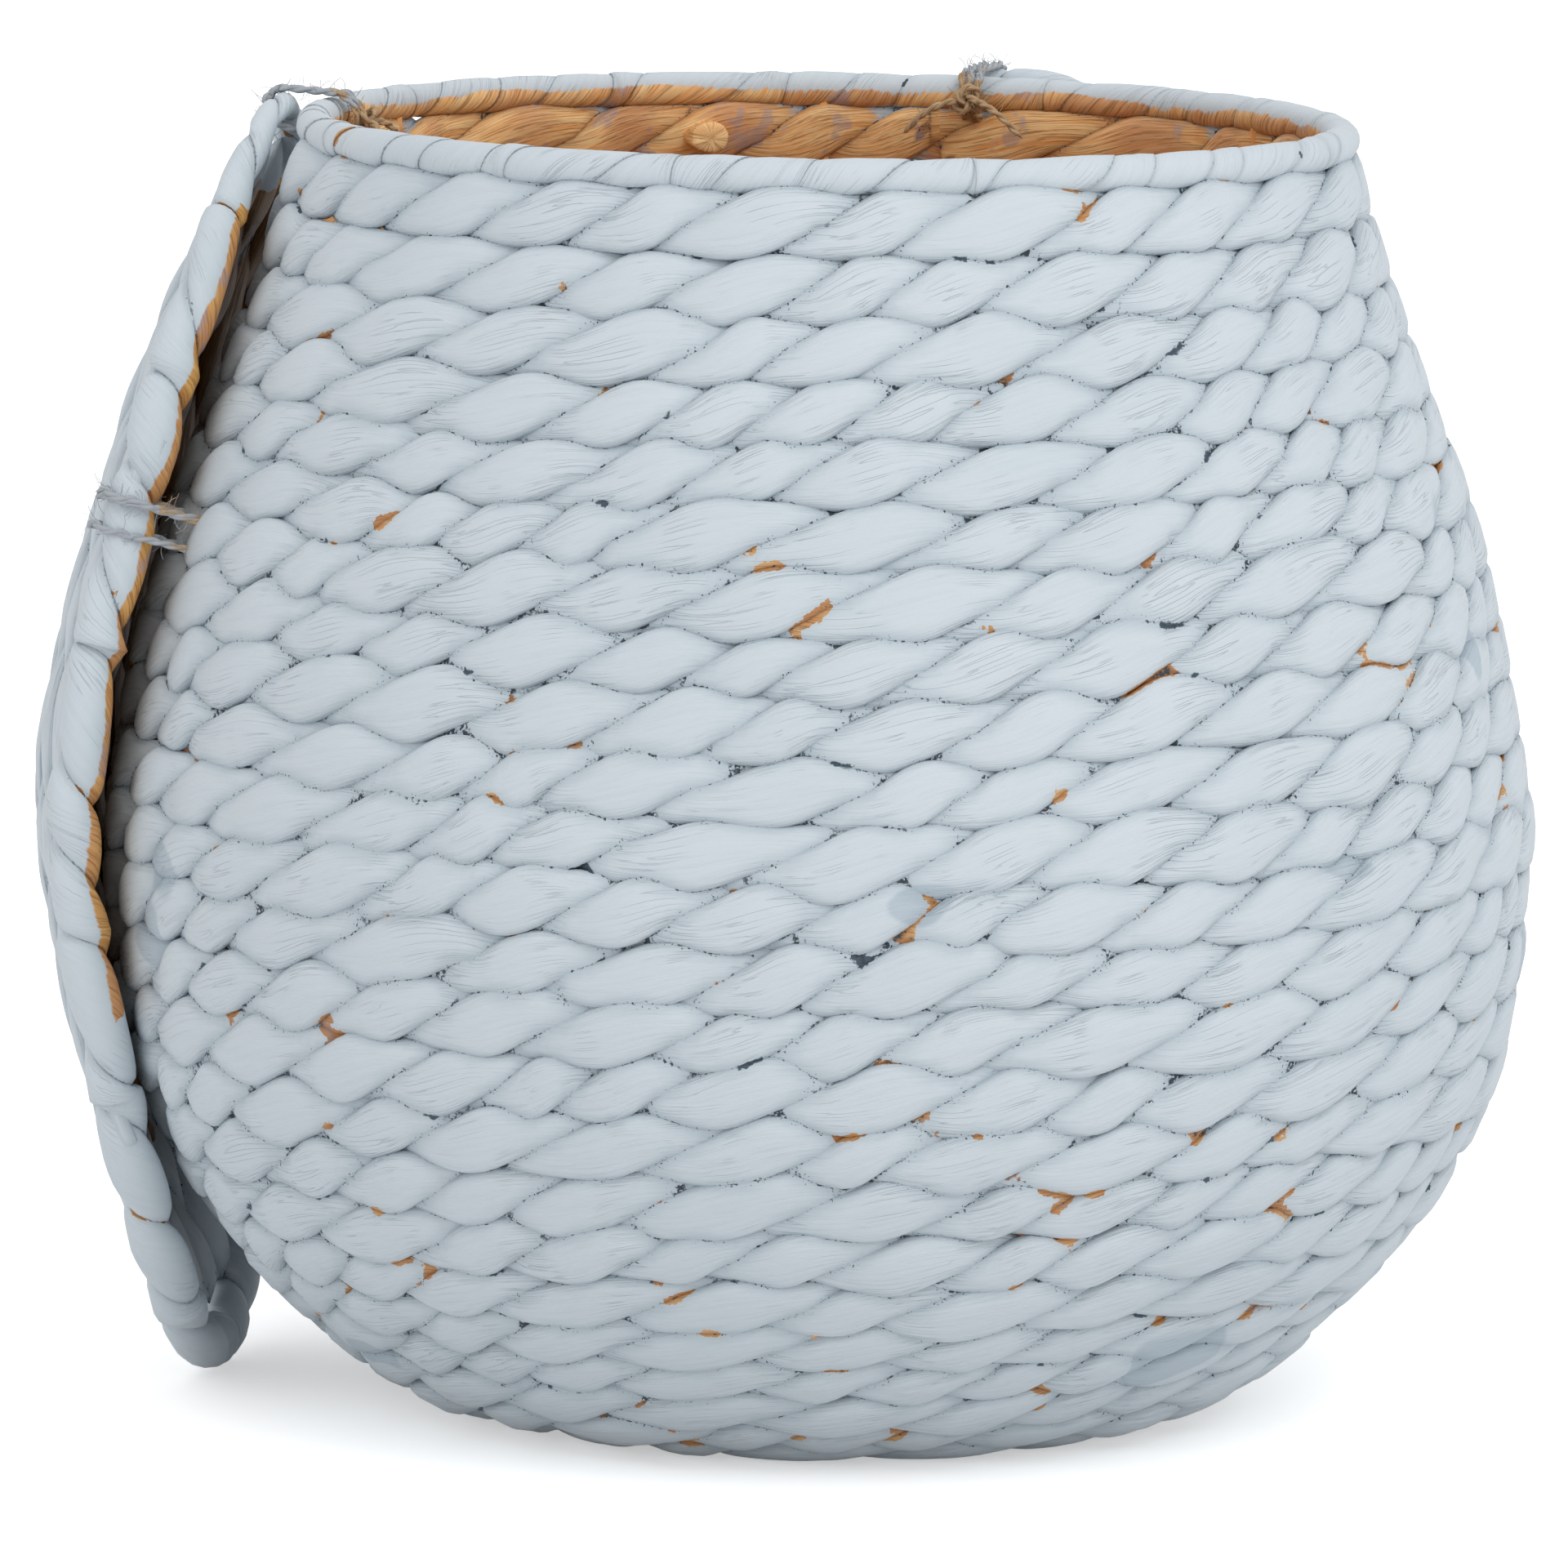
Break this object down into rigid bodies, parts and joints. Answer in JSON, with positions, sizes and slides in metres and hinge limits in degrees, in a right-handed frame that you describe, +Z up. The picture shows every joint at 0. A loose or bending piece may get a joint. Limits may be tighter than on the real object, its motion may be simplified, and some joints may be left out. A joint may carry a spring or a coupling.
{
  "type": "lidless woven basket with tied flaps",
  "caption": "Round low-bellied open basket of horizontal twisted-strand courses with a wrapped wire rim and two tall oval flaps tied to its upper side with twine.",
  "frame": {"origin": "centre of the round base, on the floor that the basket stands on", "axes": "+Z up to the rim, +Y midway between the two flaps, +X to the right-hand flap seen from the plain back looking along +Y"},
  "size_m": [0.4314, 0.3996, 0.366],
  "materials": {
    "painted_strand": "water-hyacinth strand, matt pale blue-grey paint outside, bare amber inside",
    "frame_wire": "dull dark iron wire",
    "twine": "hairy natural twine"
  },
  "bodies": {
    "basket": {"wall_course_01": "painted_strand", "wall_course_02": "painted_strand", "wall_course_03": "painted_strand", "wall_course_04": "painted_strand", "wall_course_05": "painted_strand", "wall_course_06": "painted_strand", "wall_course_07": "painted_strand", "wall_course_08": "painted_strand", "wall_course_09": "painted_strand", "wall_course_10": "painted_strand", "wall_course_11": "painted_strand", "wall_course_12": "painted_strand", "wall_course_13": "painted_strand", "wall_course_14": "painted_strand", "wall_course_15": "painted_strand", "wall_course_16": "painted_strand", "wall_course_17": "painted_strand", "wall_course_18": "painted_strand", "wall_course_19": "painted_strand", "wall_course_20": "painted_strand", "wall_course_21": "painted_strand", "wall_course_22": "painted_strand", "wall_course_23": "painted_strand", "wall_course_24": "painted_strand", "base_course_1": "painted_strand", "base_course_2": "painted_strand", "base_course_3": "painted_strand", "base_course_4": "painted_strand", "base_start": "painted_strand", "rim_wrap": "painted_strand", "wire_frame": "frame_wire", "left_rim_tie": "twine", "left_side_tie": "twine", "right_rim_tie": "twine", "right_side_tie": "twine"},
    "left_flap": {"left_flap_hoop": "frame_wire", "left_flap_border_wrap": "painted_strand", "left_flap_column_01": "painted_strand", "left_flap_column_02": "painted_strand", "left_flap_column_03": "painted_strand", "left_flap_column_04": "painted_strand", "left_flap_column_05": "painted_strand", "left_flap_column_06": "painted_strand", "left_flap_column_07": "painted_strand", "left_flap_column_08": "painted_strand", "left_flap_column_09": "painted_strand", "left_flap_column_10": "painted_strand"},
    "right_flap": {"right_flap_hoop": "frame_wire", "right_flap_border_wrap": "painted_strand", "right_flap_column_01": "painted_strand", "right_flap_column_02": "painted_strand", "right_flap_column_03": "painted_strand", "right_flap_column_04": "painted_strand", "right_flap_column_05": "painted_strand", "right_flap_column_06": "painted_strand", "right_flap_column_07": "painted_strand", "right_flap_column_08": "painted_strand", "right_flap_column_09": "painted_strand", "right_flap_column_10": "painted_strand"}
  },
  "joints": [
    {"name": "left_flap_swing", "type": "hinge", "parent": "basket", "child": "left_flap", "pos_m": [-0.1929, 0.04723, 0.25321], "axis": [0.5356, 0.4199, 0.7327], "range_deg": [0, 12]},
    {"name": "right_flap_swing", "type": "hinge", "parent": "basket", "child": "right_flap", "pos_m": [0.1929, 0.04723, 0.25321], "axis": [0.5356, -0.4199, -0.7327], "range_deg": [0, 12]}
  ]
}
